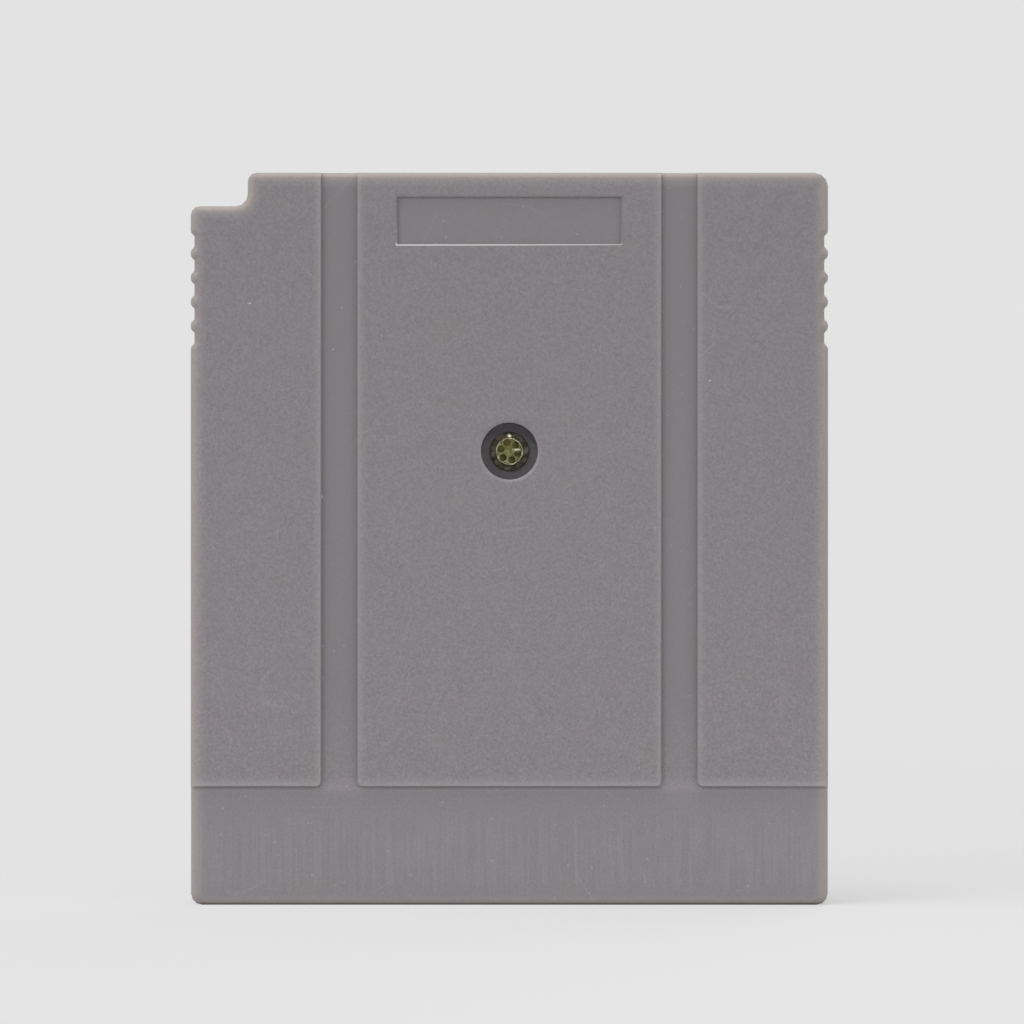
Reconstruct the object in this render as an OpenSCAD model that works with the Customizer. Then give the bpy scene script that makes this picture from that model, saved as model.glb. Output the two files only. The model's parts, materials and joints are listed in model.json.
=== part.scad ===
// Game cartridge for a handheld console: two moulded shells, one screw and a circuit board.
// Sizes are in millimetres. X runs across the cartridge and +Z up from its contact end.
// The side with the screw faces -Y. The origin is the middle of the contact end.

/* [Outline] */
// Width across the sides
width = 57; // [55.5:0.5:60]
// Height from the contact end to the top edge
height = 65.5; // [64:0.5:70]
// Thickness over the raised rear panels
thickness = 7.8; // [7.7:0.1:9]
// Radius of the plain top corner
top_corner_r = 1.2; // [0.8:0.1:2]
// Radius of the two corners at the contact end
end_corner_r = 1; // [0.6:0.1:2]
// Radius of the edge round the rear and the front face
outer_edge_r = 0.6; // [0.3:0.05:0.6]

/* [Corner notch] */
// Width of the notch in the top corner
notch_w = 5.1; // [4:0.1:6]
// Height of the notch
notch_h = 3; // [2.6:0.1:4]
// Radius of the two outer corners of the notch
notch_outer_r = 0.8; // [0.5:0.1:1.2]
// Radius of the inner corner of the notch
notch_inner_r = 1.1; // [0.5:0.1:1.3]

/* [Side grips] */
// Number of hollows down each side
grip_count = 5; // [3:1:6]
// Distance from one hollow to the next
grip_pitch = 2.16; // [2.16:0.02:2.5]
// Distance from the top edge to the middle of the first hollow
grip_drop = 6.15; // [5.8:0.05:8]
// Width of a hollow at the side face
grip_w = 1.6; // [1.5:0.05:1.6]
// Width of the flat floor of a hollow
grip_floor_w = 0.95; // [0.7:0.05:0.95]
// Depth of a hollow
grip_depth = 0.33; // [0.25:0.01:0.34]
// Radius of the ridge between two hollows
grip_ridge_r = 0.5; // [0.35:0.05:0.55]
// Radius between the floor of a hollow and its slopes
grip_floor_r = 0.2; // [0.15:0.05:0.4]

/* [Rear panels] */
// Width of each side panel
side_panel_w = 11.7; // [9:0.1:13]
// Width of the groove beside the middle panel
groove_w = 3.2; // [2:0.1:4]
// Height of the panels over the grooves and the plain strip
panel_rise = 0.45; // [0.3:0.05:0.5]
// Height of the plain strip at the contact end
strip_h = 10.6; // [8:0.1:13]
// Radius of the lower corners of the panels
panel_corner_r = 0.4; // [0.35:0.05:0.8]
// Radius of the edges of the panels beside the grooves and the strip
panel_edge_r = 0.2; // [0.1:0.05:0.3]
// Width of the shallow recess near the top of the middle panel
badge_w = 20; // [14:0.5:24]
// Height of that recess
badge_h = 4.2; // [3:0.1:6]
// Depth of that recess
badge_depth = 0.35; // [0.2:0.05:0.4]
// Distance from the top edge to that recess
badge_drop = 2.2; // [1.5:0.1:4]

/* [Front face] */
// Width of the recess for a label
label_w = 42; // [38:0.5:44]
// Height of that recess
label_h = 37; // [32:0.5:39]
// Depth of that recess
label_depth = 0.3; // [0.15:0.05:0.35]
// Corner radius of that recess
label_corner_r = 1.5; // [0.8:0.1:3]
// Distance from the contact end to that recess
label_up = 10.2; // [8.5:0.1:11.5]
// Width of the round-ended recess under the top edge
plate_w = 41; // [36:0.5:42]
// Height of the round-ended recess
plate_h = 8.4; // [6:0.1:9]
// Depth of the round-ended recess
plate_depth = 0.4; // [0.2:0.05:0.4]
// Distance from the top edge to the middle of the round-ended recess
plate_drop = 10.5; // [9:0.1:11.5]
// Gap between the round-ended recess and the grip lines beside it
grip_line_gap = 1.4; // [0.8:0.1:2.5]
// Width of the insertion arrow
arrow_w = 5; // [3:0.1:8]
// Height of the insertion arrow
arrow_h = 3; // [2:0.1:4.5]
// Distance from the contact end to the tip of the arrow
arrow_up = 3.4; // [2:0.1:4]

/* [Shell walls] */
// Depth of the rear shell, from the panels to the seam
rear_shell_d = 3.7; // [3.4:0.1:4]
// Wall of the rear shell under the grooves
rear_wall = 1.1; // [0.9:0.05:1.2]
// Wall of the front shell
front_wall = 0.95; // [0.85:0.05:1.1]
// Wall round the sides and the top
side_wall = 1.8; // [1.6:0.05:2]
// Corner radius inside the shells
inner_corner_r = 0.6; // [0.3:0.1:0.9]
// Thickness of the cheek on each side of the slot
cheek_w = 3.3; // [3.1:0.1:3.4]
// Height of the cheeks
cheek_h = 9.6; // [9:0.1:11]
// Bevel of each shell along the seam
seam_bevel = 0.12; // [0.05:0.01:0.2]
// Thickness of the lip that closes the seam from inside
lip_t = 0.6; // [0.5:0.05:0.65]
// Reach of the lip past the seam
lip_reach = 0.8; // [0.5:0.1:1]
// Gap between moulded pieces that slip together
slip_gap = 0.1; // [0.05:0.01:0.15]

/* [Screw] */
// Distance from the top edge to the axis of the screw
screw_drop = 24.9; // [24:0.1:25.5]
// Radius of the screw well
well_r = 2.55; // [2.4:0.05:2.8]
// Depth of the screw well
well_depth = 3.2; // [3:0.05:3.4]
// Bevel at the mouth of the well
well_bevel = 0.12; // [0.05:0.01:0.2]
// Wall round the well
boss_wall = 1.25; // [1:0.05:1.3]
// Floor under the head
boss_floor = 1; // [0.8:0.05:1.2]
// Radius of the flange of the screw
flange_r = 1.75; // [1.5:0.05:2]
// Thickness of the flange
flange_t = 0.45; // [0.3:0.05:0.6]
// Radius of the crown that the driver grips
crown_r = 1.18; // [1.05:0.01:1.3]
// Height of the crown over the flange
crown_h = 0.65; // [0.4:0.05:0.75]
// Number of flutes in the crown
flute_count = 6; // [5:1:7]
// Radius of a flute
flute_r = 0.33; // [0.2:0.01:0.35]
// Width of the low ring round the crown
crown_ring_w = 0.14; // [0.08:0.01:0.2]
// Radius of the threaded shank
shank_r = 1; // [0.8:0.05:1.1]
// Length of the shank under the flange
shank_len = 3.1; // [2.4:0.1:3.2]
// Gap round the shank in its holes
shank_gap = 0.04; // [0.02:0.01:0.1]
// Wall of the post that takes the shank
post_wall = 1.6; // [1.3:0.05:1.7]

/* [Board] */
// Thickness of the board
board_t = 0.8; // [0.6:0.05:0.9]
// Height of the ribs that the board rests on
rest_h = 0.3; // [0.2:0.05:0.35]
// Gap between the board and the cheeks
board_side_gap = 0.2; // [0.1:0.05:0.3]
// Distance from the contact end to the edge of the board
board_up = 1.9; // [1:0.1:2.5]
// Gap between the top of the board and the shell
board_top_gap = 1.2; // [0.8:0.1:2]
// Gap round the screw post in the board
board_hole_gap = 1.25; // [1:0.05:1.4]
// Radius of the corners of the board
board_corner_r = 0.5; // [0.3:0.1:1]
// Radius of the corners of the cut-outs in its sides
cut_corner_r = 0.2; // [0.1:0.05:0.25]
// Distance from one contact to the next
contact_pitch = 1.5; // [1.3:0.05:1.8]
// Least distance from the side of the board to the contacts
contact_margin = 1; // [0.6:0.1:1.2]
// Width of a contact
contact_w = 1; // [0.7:0.05:1.1]
// Length of a contact
contact_len = 6; // [4:0.1:6.5]
// Extra length of the first and the last contact
contact_extra = 0.8; // [0:0.1:1]
// Distance from the edge of the board to the contacts
contact_up = 0.3; // [0.2:0.05:0.6]
// Thickness of the plated contacts
contact_t = 0.06; // [0.04:0.01:0.1]

/* [Inside] */
// Width of the stiffening ribs
rib_w = 0.8; // [0.6:0.05:1]
// Height of the ribs inside the rear shell
rib_h = 0.6; // [0.4:0.05:0.8]
// Radius of the posts that hold the board down
clamp_r = 1.1; // [0.9:0.05:1.3]
// Radius of the two locating pegs
peg_r = 0.9; // [0.7:0.05:1]
// Length of each catch along the side
catch_len = 4; // [3:0.1:4.5]
// Thickness of each catch
catch_t = 0.8; // [0.6:0.05:0.9]
// Depth of the ledge that a catch hooks on
ledge_w = 0.8; // [0.6:0.05:0.9]
// Thickness of that ledge
ledge_t = 0.8; // [0.6:0.05:0.9]
// Distance from the cheeks to the middle of the lower catches
catch_up = 10.4; // [6:0.2:14]
// Distance from the corner notch down to the middle of the upper catches
catch_down = 13.5; // [10:0.5:15]
// Distance from the side of the board to the posts
clamp_in = 2.4; // [1.8:0.1:3]
// Distance from the side of the board to the locating pegs
peg_in = 4.4; // [3:0.1:5]
// Distance from the inside of the top wall to the locating pegs
peg_down = 6.2; // [5.8:0.1:7]

/* [Chips] */
// Gap between the contacts and the memories
memory_gap = 5.5; // [4:0.1:6]
// Gap between the small parts and the chips
part_gap = 1.2; // [0.8:0.1:1.5]
// Distance from the side of the board to the program memory
rom_in = 1.6; // [1.2:0.1:3]
// Distance from the side of the board to the save memory
ram_in = 1.8; // [1.4:0.1:3]
// Distance from the side of the board to the legs of the bank controller
bank_in = 6.6; // [5:0.1:7]
// Distance from the top of the board to the legs of the bank controller
bank_down = 8.6; // [6:0.1:9]
// Length of the program memory
rom_l = 20.4; // [18:0.1:21]
// Width of the program memory
rom_w = 11.3; // [9:0.1:11.5]
// Legs on each long side of the program memory
rom_legs = 16; // [12:1:16]
// Length of the save memory
ram_l = 18.3; // [16:0.1:19]
// Width of the save memory
ram_w = 8.6; // [7:0.1:9]
// Legs on each long side of the save memory
ram_legs = 14; // [10:1:14]
// Side of the square bank controller
bank_side = 7; // [6:0.1:7.5]
// Legs on each side of the bank controller
bank_legs = 8; // [5:1:8]
// Length of the power monitor
monitor_l = 5; // [4.9:0.1:5.4]
// Width of the power monitor
monitor_w = 4.2; // [3.8:0.1:4.4]
// Legs on each long side of the power monitor
monitor_legs = 4; // [3:1:4]
// Thickness of the two memories
memory_t = 2.3; // [1.8:0.1:2.5]
// Thickness of the other chips
small_chip_t = 1.5; // [1.2:0.1:1.8]
// Gap under the chips
chip_lift = 0.12; // [0.08:0.02:0.2]
// Reach of a leg beyond the body of its chip
leg_reach = 1.35; // [1.1:0.05:1.5]
// Thickness of the legs
leg_t = 0.18; // [0.12:0.02:0.22]
// Pitch of the legs of the two-sided chips
wide_pitch = 1.27; // [1:0.01:1.3]
// Width of those legs
wide_leg_w = 0.42; // [0.3:0.02:0.5]
// Pitch of the legs of the bank controller
fine_pitch = 0.8; // [0.65:0.05:0.85]
// Width of those legs
fine_leg_w = 0.34; // [0.2:0.02:0.4]
// Radius of the mark beside the first leg
mark_r = 0.45; // [0.3:0.05:0.6]
// Depth of that mark
mark_depth = 0.1; // [0.05:0.01:0.2]

/* [Battery] */
// Diameter of the coin cell
cell_d = 16; // [14:0.5:16]
// Thickness of the coin cell
cell_t = 1.6; // [1.2:0.1:2]
// Thickness of the welded tabs
tab_t = 0.15; // [0.1:0.01:0.2]
// Width of the welded tabs
tab_w = 3.6; // [2.5:0.1:4.5]
// Length of the foot of each tab
tab_foot = 1.6; // [1.2:0.1:1.8]
// Gap between the rim of the cell and the bend of a tab
tab_gap = 0.7; // [0.5:0.05:1]
// Distance from the side of the board to the cell
cell_in = 2.8; // [2:0.1:3.5]
// Distance from the top of the board to the cell
cell_down = 4.4; // [3.6:0.1:5]
// How much smaller the cap is than the can, on the radius
cap_step = 1; // [0.6:0.1:1.5]
// Radius of the shoulder of the can
cell_edge = 0.3; // [0.15:0.05:0.4]

/* [Small parts] */
// Length of the capacitors
capacitor_l = 2; // [1.6:0.1:2.2]
// Width of the capacitors
capacitor_w = 1.25; // [1:0.05:1.4]
// Thickness of the capacitors
capacitor_t = 0.9; // [0.6:0.05:1.2]
// Length of the resistors
resistor_l = 1.6; // [1.3:0.1:1.8]
// Width of the resistors
resistor_w = 0.8; // [0.6:0.05:0.9]
// Thickness of the resistors
resistor_t = 0.45; // [0.3:0.05:0.6]
// Length of the metal ends of the small parts
end_cap_l = 0.35; // [0.2:0.05:0.45]
// Distance from the middle of a memory to the capacitors beside its middle line
capacitor_out = 5.9; // [5.2:0.1:7]
// Distance between the rows and columns of the resistors
resistor_step = 2.6; // [2.4:0.1:3]

/* [Hidden] */

// How far a cutter runs past the face that it opens
past = 1;
// Steps in a small corner, in a large one, in the outer edges and in those of the panels
corner_steps = 3;
wide_steps = 10;
outer_steps = 4;
panel_steps = 3;
$fn = 48;

// Levels from the panels of the rear shell to the face of the front shell
rear_y = -thickness / 2;
front_y = thickness / 2;
groove_y = rear_y + panel_rise;
outer_root_y = groove_y + outer_edge_r;
rear_inner_y = groove_y + rear_wall;
rear_root_y = rear_inner_y - rear_wall / 2;
seam_y = rear_y + rear_shell_d;
front_inner_y = front_y - front_wall;
front_root_y = front_inner_y + front_wall / 3;
board_back_y = front_inner_y - rest_h;
board_face_y = board_back_y - board_t;

// Screw and its well
screw_z = height - screw_drop;
seat_y = rear_y + well_depth;
boss_r = well_r + boss_wall;
boss_end_y = seat_y + boss_floor;
shank_end_y = seat_y + shank_len;
pilot_r = shank_r + shank_gap;
post_r = pilot_r + post_wall;
post_hole_r = post_r + board_hole_gap;

// Inner faces of the sides, the slot and the board
inner_x = width / 2 - side_wall;
inner_top_z = height - side_wall;
slot_x = width / 2 - cheek_w;
board_x = slot_x - board_side_gap;
board_top_z = inner_top_z - board_top_gap;
notch_inner_x = -inner_x + notch_w;
notch_inner_z = inner_top_z - notch_h;
groove_x = width / 2 - side_panel_w - groove_w / 2;
grip_middle_z = height - grip_drop - (grip_count - 1) / 2 * grip_pitch;

// Catches on the rear shell and the ledges that they hook on
ledge_x = inner_x - ledge_w;
ledge_root_x = inner_x + side_wall / 4;
catch_x = ledge_x - slip_gap;
ledge_y = seam_y + ledge_t;
catch_y = ledge_y + ledge_t + slip_gap / 2;
catch_z = [cheek_h + catch_up, notch_inner_z - catch_down];
catch_travel = catch_len + 2 * slip_gap;
catch_clear = 3 * slip_gap;

// Rows on the board, from the contacts up
contact_low_z = board_up + contact_up;
contact_high_z = contact_low_z + contact_len + contact_extra;
memory_low_z = contact_high_z + memory_gap;
memory_z = memory_low_z + leg_reach + rom_w / 2;
memory_high_z = memory_z + rom_w / 2 + leg_reach;

// Places of the pieces on the board, as [x, z]
rom_at = [rom_in - board_x + rom_l / 2, memory_z];
ram_at = [board_x - ram_in - ram_l / 2, memory_z];
monitor_at = [ram_at[0], memory_z + ram_w / 2 + 2 * leg_reach + part_gap + monitor_w / 2];
bank_at = [
  bank_in - board_x + leg_reach + bank_side / 2,
  board_top_z - bank_down - leg_reach - bank_side / 2
];
cell_at = [board_x - cell_in - cell_d / 2, board_top_z - cell_down - cell_d / 2];
capacitor_z = memory_high_z + part_gap + capacitor_w / 2;
capacitor_at = [for (x = [rom_at[0], ram_at[0]], side = [-1, 1]) [x + side * capacitor_out, capacitor_z]];
resistor_x = bank_at[0] + bank_side / 2 + leg_reach + part_gap + resistor_l / 2;
resistor_at = [
  for (column = [0, 1], row = [-0.5, 0.5])
    [resistor_x + column * resistor_step, bank_at[1] + row * resistor_step]
];

// Posts and pegs
clamp_x = board_x - clamp_in;
clamp_z = [contact_high_z + memory_gap / 2, memory_high_z + part_gap + clamp_r];
peg_x = board_x - peg_in;
peg_z = inner_top_z - peg_down;

// Share of a package's thickness that each of its sides slopes by, from its middle
package_slope = 0.1;

plastic = [0.525, 0.506, 0.527];
package = [0.13, 0.13, 0.14];
tin = [0.78, 0.78, 0.76];

function unit(v) = v / norm(v);
function left_of(v) = [-v[1], v[0]];
function turned(v, a) = [v[0] * cos(a) - v[1] * sin(a), v[0] * sin(a) + v[1] * cos(a)];

// The arc at corner i of a line of [x, z, radius] corners, after the line is moved in by inset
function corner_arc(line, i, inset, steps) =
  let (
    n = len(line),
    before = line[(i + n - 1) % n],
    here = line[i],
    after = line[(i + 1) % n],
    u = unit([here[0] - before[0], here[1] - before[1]]),
    v = unit([after[0] - here[0], after[1] - here[1]]),
    turn = atan2(u[0] * v[1] - u[1] * v[0], u * v),
    r = max(here[2] - inset * sign(turn), 0.05),
    corner = [here[0], here[1]] + inset * (left_of(u) + left_of(v)) / (1 + u * v),
    start = corner - u * r * tan(abs(turn) / 2),
    centre = start + left_of(u) * r * sign(turn)
  )
  [for (k = [0 : steps]) centre + turned(start - centre, turn * k / steps)];

// The points of a rounded line, which runs counter-clockwise seen from -Y
function ring(line, inset = 0, steps = corner_steps) =
  [for (i = [0 : len(line) - 1]) each corner_arc(line, i, inset, steps)];

// Rings from an edge of radius r up to a face at y, each as [inset, y]
function edge_levels(r, steps, y) =
  [for (k = [0 : steps]) let (a = 90 * k / steps) [r * (1 - cos(a)), y + r * (1 - sin(a))]];

function backwards(list) = [for (i = [len(list) - 1 : -1 : 0]) list[i]];

// A solid through rings of one line at levels of [inset, y] from +Y to -Y. Both ends are
// closed round the hub, which sees the whole line.
module loft(line, levels, hub) {
  rings = [for (l = levels) [for (p = ring(line, l[0])) [p[0], l[1], p[1]]]];
  n = len(rings[0]);
  last = len(levels) - 1;
  hubs = [[hub[0], levels[0][1], hub[1]], [hub[0], levels[last][1], hub[1]]];
  function at(level, i) = level * n + i % n;
  sides = [
    for (l = [0 : last - 1], i = [0 : n - 1])
      each [[at(l, i), at(l + 1, i + 1), at(l, i + 1)], [at(l, i), at(l + 1, i), at(l + 1, i + 1)]]
  ];
  back = [for (i = [0 : n - 1]) [at(0, i), at(0, i + 1), n * (last + 1)]];
  face = [for (i = [0 : n - 1]) [at(last, i + 1), at(last, i), n * (last + 1) + 1]];
  polyhedron(concat([for (r = rings) each r], hubs), concat(sides, back, face));
}

// A flat solid of a closed line of points, from y0 to y1
module plate(points, y0, y1)
  translate([0, y1, 0]) rotate([90, 0, 0]) linear_extrude(y1 - y0) polygon(points);

module box(x0, x1, y0, y1, z0, z1)
  translate([x0, y0, z0]) cube([x1 - x0, y1 - y0, z1 - z0]);

// A round bar along Y
module rod(at, r, y0, y1)
  translate([at[0], y1, at[1]]) rotate([90, 0, 0]) cylinder(h = y1 - y0, r = r);

// A piece built on the board: its own +Z points out of the board towards the rear shell
module on_board(at)
  translate([at[0], board_face_y, at[1]]) rotate([90, 0, 0]) children();

function box_line(x0, x1, z0, z1, r) = [[x0, z0, r], [x1, z0, r], [x1, z1, r], [x0, z1, r]];

// The four corners of one hollow in the right side, from below to above
function grip(z) = [
  [width / 2, z - grip_w / 2, grip_ridge_r],
  [width / 2 - grip_depth, z - grip_floor_w / 2, grip_floor_r],
  [width / 2 - grip_depth, z + grip_floor_w / 2, grip_floor_r],
  [width / 2, z + grip_w / 2, grip_ridge_r]
];
function grip_z(i) = height - grip_drop - i * grip_pitch;
function right_grips() = [for (i = [grip_count - 1 : -1 : 0]) each grip(grip_z(i))];
function left_grips() = backwards([for (c = right_grips()) [-c[0], c[1], c[2]]]);
function notch_line() = [
  [-width / 2 + notch_w, height, notch_outer_r],
  [-width / 2 + notch_w, height - notch_h, notch_inner_r],
  [-width / 2, height - notch_h, notch_outer_r]
];
function outline() = concat(
  [[-width / 2, 0, end_corner_r], [width / 2, 0, end_corner_r]],
  right_grips(),
  [[width / 2, height, top_corner_r]],
  notch_line(),
  left_grips()
);
// The room inside the walls, moved in by inset, from z0 up
function room(inset, z0, r) = [
  [inset - width / 2, z0, r],
  [width / 2 - inset, z0, r],
  [width / 2 - inset, height - inset, r],
  [inset - width / 2 + notch_w, height - inset, r],
  [inset - width / 2 + notch_w, height - notch_h - inset, r],
  [inset - width / 2, height - notch_h - inset, r]
];

// A block with a rounded upper edge, which leaves one raised panel standing from the top edge
// down to the strip. It runs a little past the panel's face.
module panel_block(x0, x1)
  loft(
    box_line(x0, x1, strip_h, height + past, panel_corner_r),
    concat([[0, seam_y]], edge_levels(panel_edge_r, panel_steps, rear_y - panel_edge_r / 8)),
    [(x0 + x1) / 2, screw_z]
  );

module rear_skin() {
  groove_out_x = width / 2 - side_panel_w;
  groove_in_x = groove_out_x - groove_w;
  strip = [
    [-width / 2, 0, end_corner_r],
    [width / 2, 0, end_corner_r],
    [width / 2, strip_h + past, panel_corner_r],
    [-width / 2, strip_h + past, panel_corner_r]
  ];
  top_edge = backwards([for (e = edge_levels(outer_edge_r, outer_steps, groove_y)) [e[1], height - e[0]]]);
  loft(
    outline(),
    [[seam_bevel, seam_y], [0, seam_y - seam_bevel], [0, outer_root_y]],
    [0, grip_middle_z]
  );
  intersection() {
    loft(
      outline(),
      concat([[0, outer_root_y]], edge_levels(outer_edge_r, outer_steps, rear_y)),
      [0, grip_middle_z]
    );
    union() {
      panel_block(-width / 2 - past, -groove_out_x);
      panel_block(-groove_in_x, groove_in_x);
      panel_block(groove_out_x, width / 2 + past);
    }
  }
  loft(strip, edge_levels(outer_edge_r, outer_steps, groove_y), [0, strip_h / 2]);
  for (side = [-1, 1])
    translate([side * groove_x - groove_w / 2 - past, 0, 0])
      rotate([90, 0, 90])
        linear_extrude(groove_w + 2 * past)
          polygon(concat([[outer_root_y, strip_h], [groove_y, strip_h]], top_edge));
}

// Catches on the sides of the rear shell, which slide under the ledges of the front shell
module catches() {
  foot_y = seam_y - lip_reach - 2 * slip_gap;
  middle_x = catch_x - catch_t / 2;
  for (side = [0, 1], z = catch_z)
    mirror([side, 0, 0]) {
      low = z - catch_len / 2;
      high = z + catch_len / 2;
      box(catch_x - catch_t, catch_x, rear_root_y, catch_y + catch_t, low, high);
      box(middle_x, inner_x - slip_gap, catch_y, catch_y + catch_t, low, high);
      box(middle_x, ledge_root_x, rear_root_y, foot_y, z - rib_w / 2, z + rib_w / 2);
    }
}

module rear_ribs() {
  top_y = rear_inner_y + rib_h;
  top_z = notch_inner_z - past;
  for (x = [-groove_x, groove_x])
    box(x - rib_w / 2, x + rib_w / 2, rear_root_y, top_y, clamp_z[0], top_z);
  for (z = clamp_z)
    box(-clamp_x, clamp_x, rear_root_y, top_y, z - rib_w / 2, z + rib_w / 2);
  for (x = [-clamp_x, clamp_x], z = clamp_z)
    rod([x, z], clamp_r, rear_root_y, board_face_y - slip_gap);
}

module rear_shell() color(plastic) difference() {
  union() {
    difference() {
      rear_skin();
      plate(ring(room(side_wall, cheek_h, inner_corner_r)), rear_inner_y, seam_y + past);
      box(-slot_x, slot_x, rear_inner_y, seam_y + past, -past, cheek_h + past);
      plate(
        ring(room(side_wall - lip_t - slip_gap, cheek_h - slip_gap, inner_corner_r + lip_t + slip_gap)),
        seam_y - lip_reach - slip_gap,
        seam_y + past
      );
    }
    rod([0, screw_z], boss_r, rear_root_y, boss_end_y);
    rear_ribs();
    catches();
  }
  rod([0, screw_z], well_r, rear_y - past, seat_y);
  rod([0, screw_z], pilot_r + shank_gap, rear_y, boss_end_y + past);
  translate([0, rear_y + well_bevel, screw_z]) rotate([90, 0, 0])
    cylinder(h = 2 * well_bevel, r1 = well_r, r2 = well_r + 2 * well_bevel);
  badge_z = height - badge_drop;
  box(-badge_w / 2, badge_w / 2, rear_y - past, rear_y + badge_depth, badge_z - badge_h, badge_z);
}

module front_skin() loft(
  outline(),
  concat(
    backwards([for (e = edge_levels(outer_edge_r, outer_steps, 0)) [e[0], front_y - e[1]]]),
    [[0, seam_y + seam_bevel], [seam_bevel, seam_y]]
  ),
  [0, grip_middle_z]
);

// Recesses in the face of the front shell
module front_recesses() {
  grip_line_len = (width - plate_w) / 2 - grip_line_gap;
  plate(
    ring(box_line(-label_w / 2, label_w / 2, label_up, label_up + label_h, label_corner_r)),
    front_y - label_depth,
    front_y + past
  );
  plate_low = height - plate_drop - plate_h / 2;
  plate_end_r = plate_h / 2 - seam_bevel;
  plate(
    ring(box_line(-plate_w / 2, plate_w / 2, plate_low, plate_low + plate_h, plate_end_r), 0, wide_steps),
    front_y - plate_depth,
    front_y + past
  );
  for (side = [0, 1], i = [0 : grip_count - 1])
    mirror([side, 0, 0])
      translate([width / 2 - grip_line_len, 0, grip_z(i)])
        rotate([90, 0, 90])
          linear_extrude(grip_line_len + past)
            polygon([
              [front_y + past, -grip_w / 2],
              [front_y + past, grip_w / 2],
              [front_y, grip_w / 2],
              [front_y - grip_depth, grip_floor_w / 2],
              [front_y - grip_depth, -grip_floor_w / 2],
              [front_y, -grip_w / 2]
            ]);
  plate(
    [[0, arrow_up], [arrow_w / 2, arrow_up + arrow_h], [-arrow_w / 2, arrow_up + arrow_h]],
    front_y - label_depth,
    front_y + past
  );
}

// Ribs that the board rests on, the screw post, the pegs and the ledges
module front_inside() {
  top_z = notch_inner_z - past;
  fin_x = post_r + board_hole_gap / 2;
  for (x = [-groove_x, groove_x])
    box(x - rib_w / 2, x + rib_w / 2, board_back_y, front_root_y, cheek_h, top_z);
  for (z = clamp_z)
    box(-board_x, board_x, board_back_y, front_root_y, z - rib_w / 2, z + rib_w / 2);
  rod([0, screw_z], post_r, boss_end_y, front_root_y);
  for (turn = [45, 135])
    translate([0, 0, screw_z]) rotate([0, turn, 0])
      box(-fin_x, fin_x, board_face_y - past, front_root_y, -rib_w / 2, rib_w / 2);
  for (x = [-peg_x, peg_x])
    rod([x, peg_z], peg_r, board_face_y - past, front_root_y);
  for (side = [0, 1], z = catch_z)
    mirror([side, 0, 0])
      box(ledge_x, ledge_root_x, ledge_y, ledge_y + ledge_t, z - catch_len / 2, z + catch_len / 2);
}

module front_shell() color(plastic) difference() {
  union() {
    difference() {
      union() {
        front_skin();
        plate(
          ring(room(side_wall - lip_t, cheek_h, inner_corner_r + lip_t)),
          seam_y - lip_reach,
          seam_y + past
        );
      }
      plate(ring(room(side_wall, cheek_h, inner_corner_r)), seam_y - lip_reach - past, front_inner_y);
      box(-slot_x, slot_x, seam_y - lip_reach - past, front_inner_y, -past, cheek_h + past);
      front_recesses();
    }
    front_inside();
  }
  rod([0, screw_z], pilot_r, boss_end_y - past, shank_end_y + shank_gap);
}

// Shank, flange and a crown whose flutes are closed below by a low ring
module security_screw() color([0.62, 0.58, 0.36]) translate([0, seat_y, screw_z]) rotate([90, 0, 0]) {
  point_len = shank_r / 2;
  translate([0, 0, point_len - shank_len]) cylinder(h = shank_len - point_len, r = shank_r);
  translate([0, 0, -shank_len]) cylinder(h = point_len, r1 = shank_r / 2, r2 = shank_r);
  cylinder(h = flange_t, r = flange_r);
  difference() {
    union() {
      cylinder(h = flange_t + crown_h, r = crown_r);
      cylinder(h = flange_t + crown_h / 3, r = crown_r + crown_ring_w);
    }
    for (i = [0 : flute_count - 1])
      rotate(360 * (i + 3 / 4) / flute_count)
        translate([crown_r - flute_r * 7 / 8, 0, flange_t]) cylinder(h = crown_h + past, r = flute_r);
  }
}

// Board outline with the cut-outs that the catches pass
function side_cuts() = [
  for (z = catch_z)
    let (
      x = catch_x - catch_t - catch_clear,
      low = z - catch_len / 2 - catch_clear,
      high = z + catch_len / 2 + catch_travel,
      r = cut_corner_r
    )
      each [[board_x, low, r], [x, low, r], [x, high, r], [board_x, high, r]]
];
function board_line() = concat(
  [[-board_x, board_up, board_corner_r], [board_x, board_up, board_corner_r]],
  side_cuts(),
  [[board_x, board_top_z, board_corner_r]],
  [[notch_inner_x + board_top_gap, board_top_z, board_corner_r]],
  [[notch_inner_x + board_top_gap, notch_inner_z - board_top_gap, cut_corner_r]],
  [[-board_x, notch_inner_z - board_top_gap, board_corner_r]],
  backwards([for (c = side_cuts()) [-c[0], c[1], c[2]]])
);

module circuit_board() color([0.10, 0.33, 0.18]) difference() {
  plate(ring(board_line()), board_face_y, board_back_y);
  rod([0, screw_z], post_hole_r, board_face_y - past, board_back_y + past);
  for (side = [-1, 1])
    rod([side * peg_x, peg_z], peg_r + slip_gap, board_face_y - past, board_back_y + past);
}

// As many contacts as the board is wide enough for, the first and the last one longer
module edge_contacts() color([0.83, 0.68, 0.30]) {
  steps = floor((2 * (board_x - contact_margin) - contact_w) / contact_pitch);
  for (i = [0 : steps]) {
    x = (i - steps / 2) * contact_pitch;
    high = i == 0 || i == steps ? contact_high_z : contact_high_z - contact_extra;
    box(x - contact_w / 2, x + contact_w / 2, board_face_y - contact_t, board_face_y, contact_low_z, high);
  }
}

// Profile of a moulded package across one direction, widest at half its thickness
module package_profile(w, t, length) {
  slope = t * package_slope;
  rotate([90, 0, 0]) linear_extrude(length, center = true) polygon([
    [-w / 2 + slope, chip_lift],
    [w / 2 - slope, chip_lift],
    [w / 2, chip_lift + t / 2],
    [w / 2 - slope, chip_lift + t],
    [-w / 2 + slope, chip_lift + t],
    [-w / 2, chip_lift + t / 2]
  ]);
}

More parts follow.
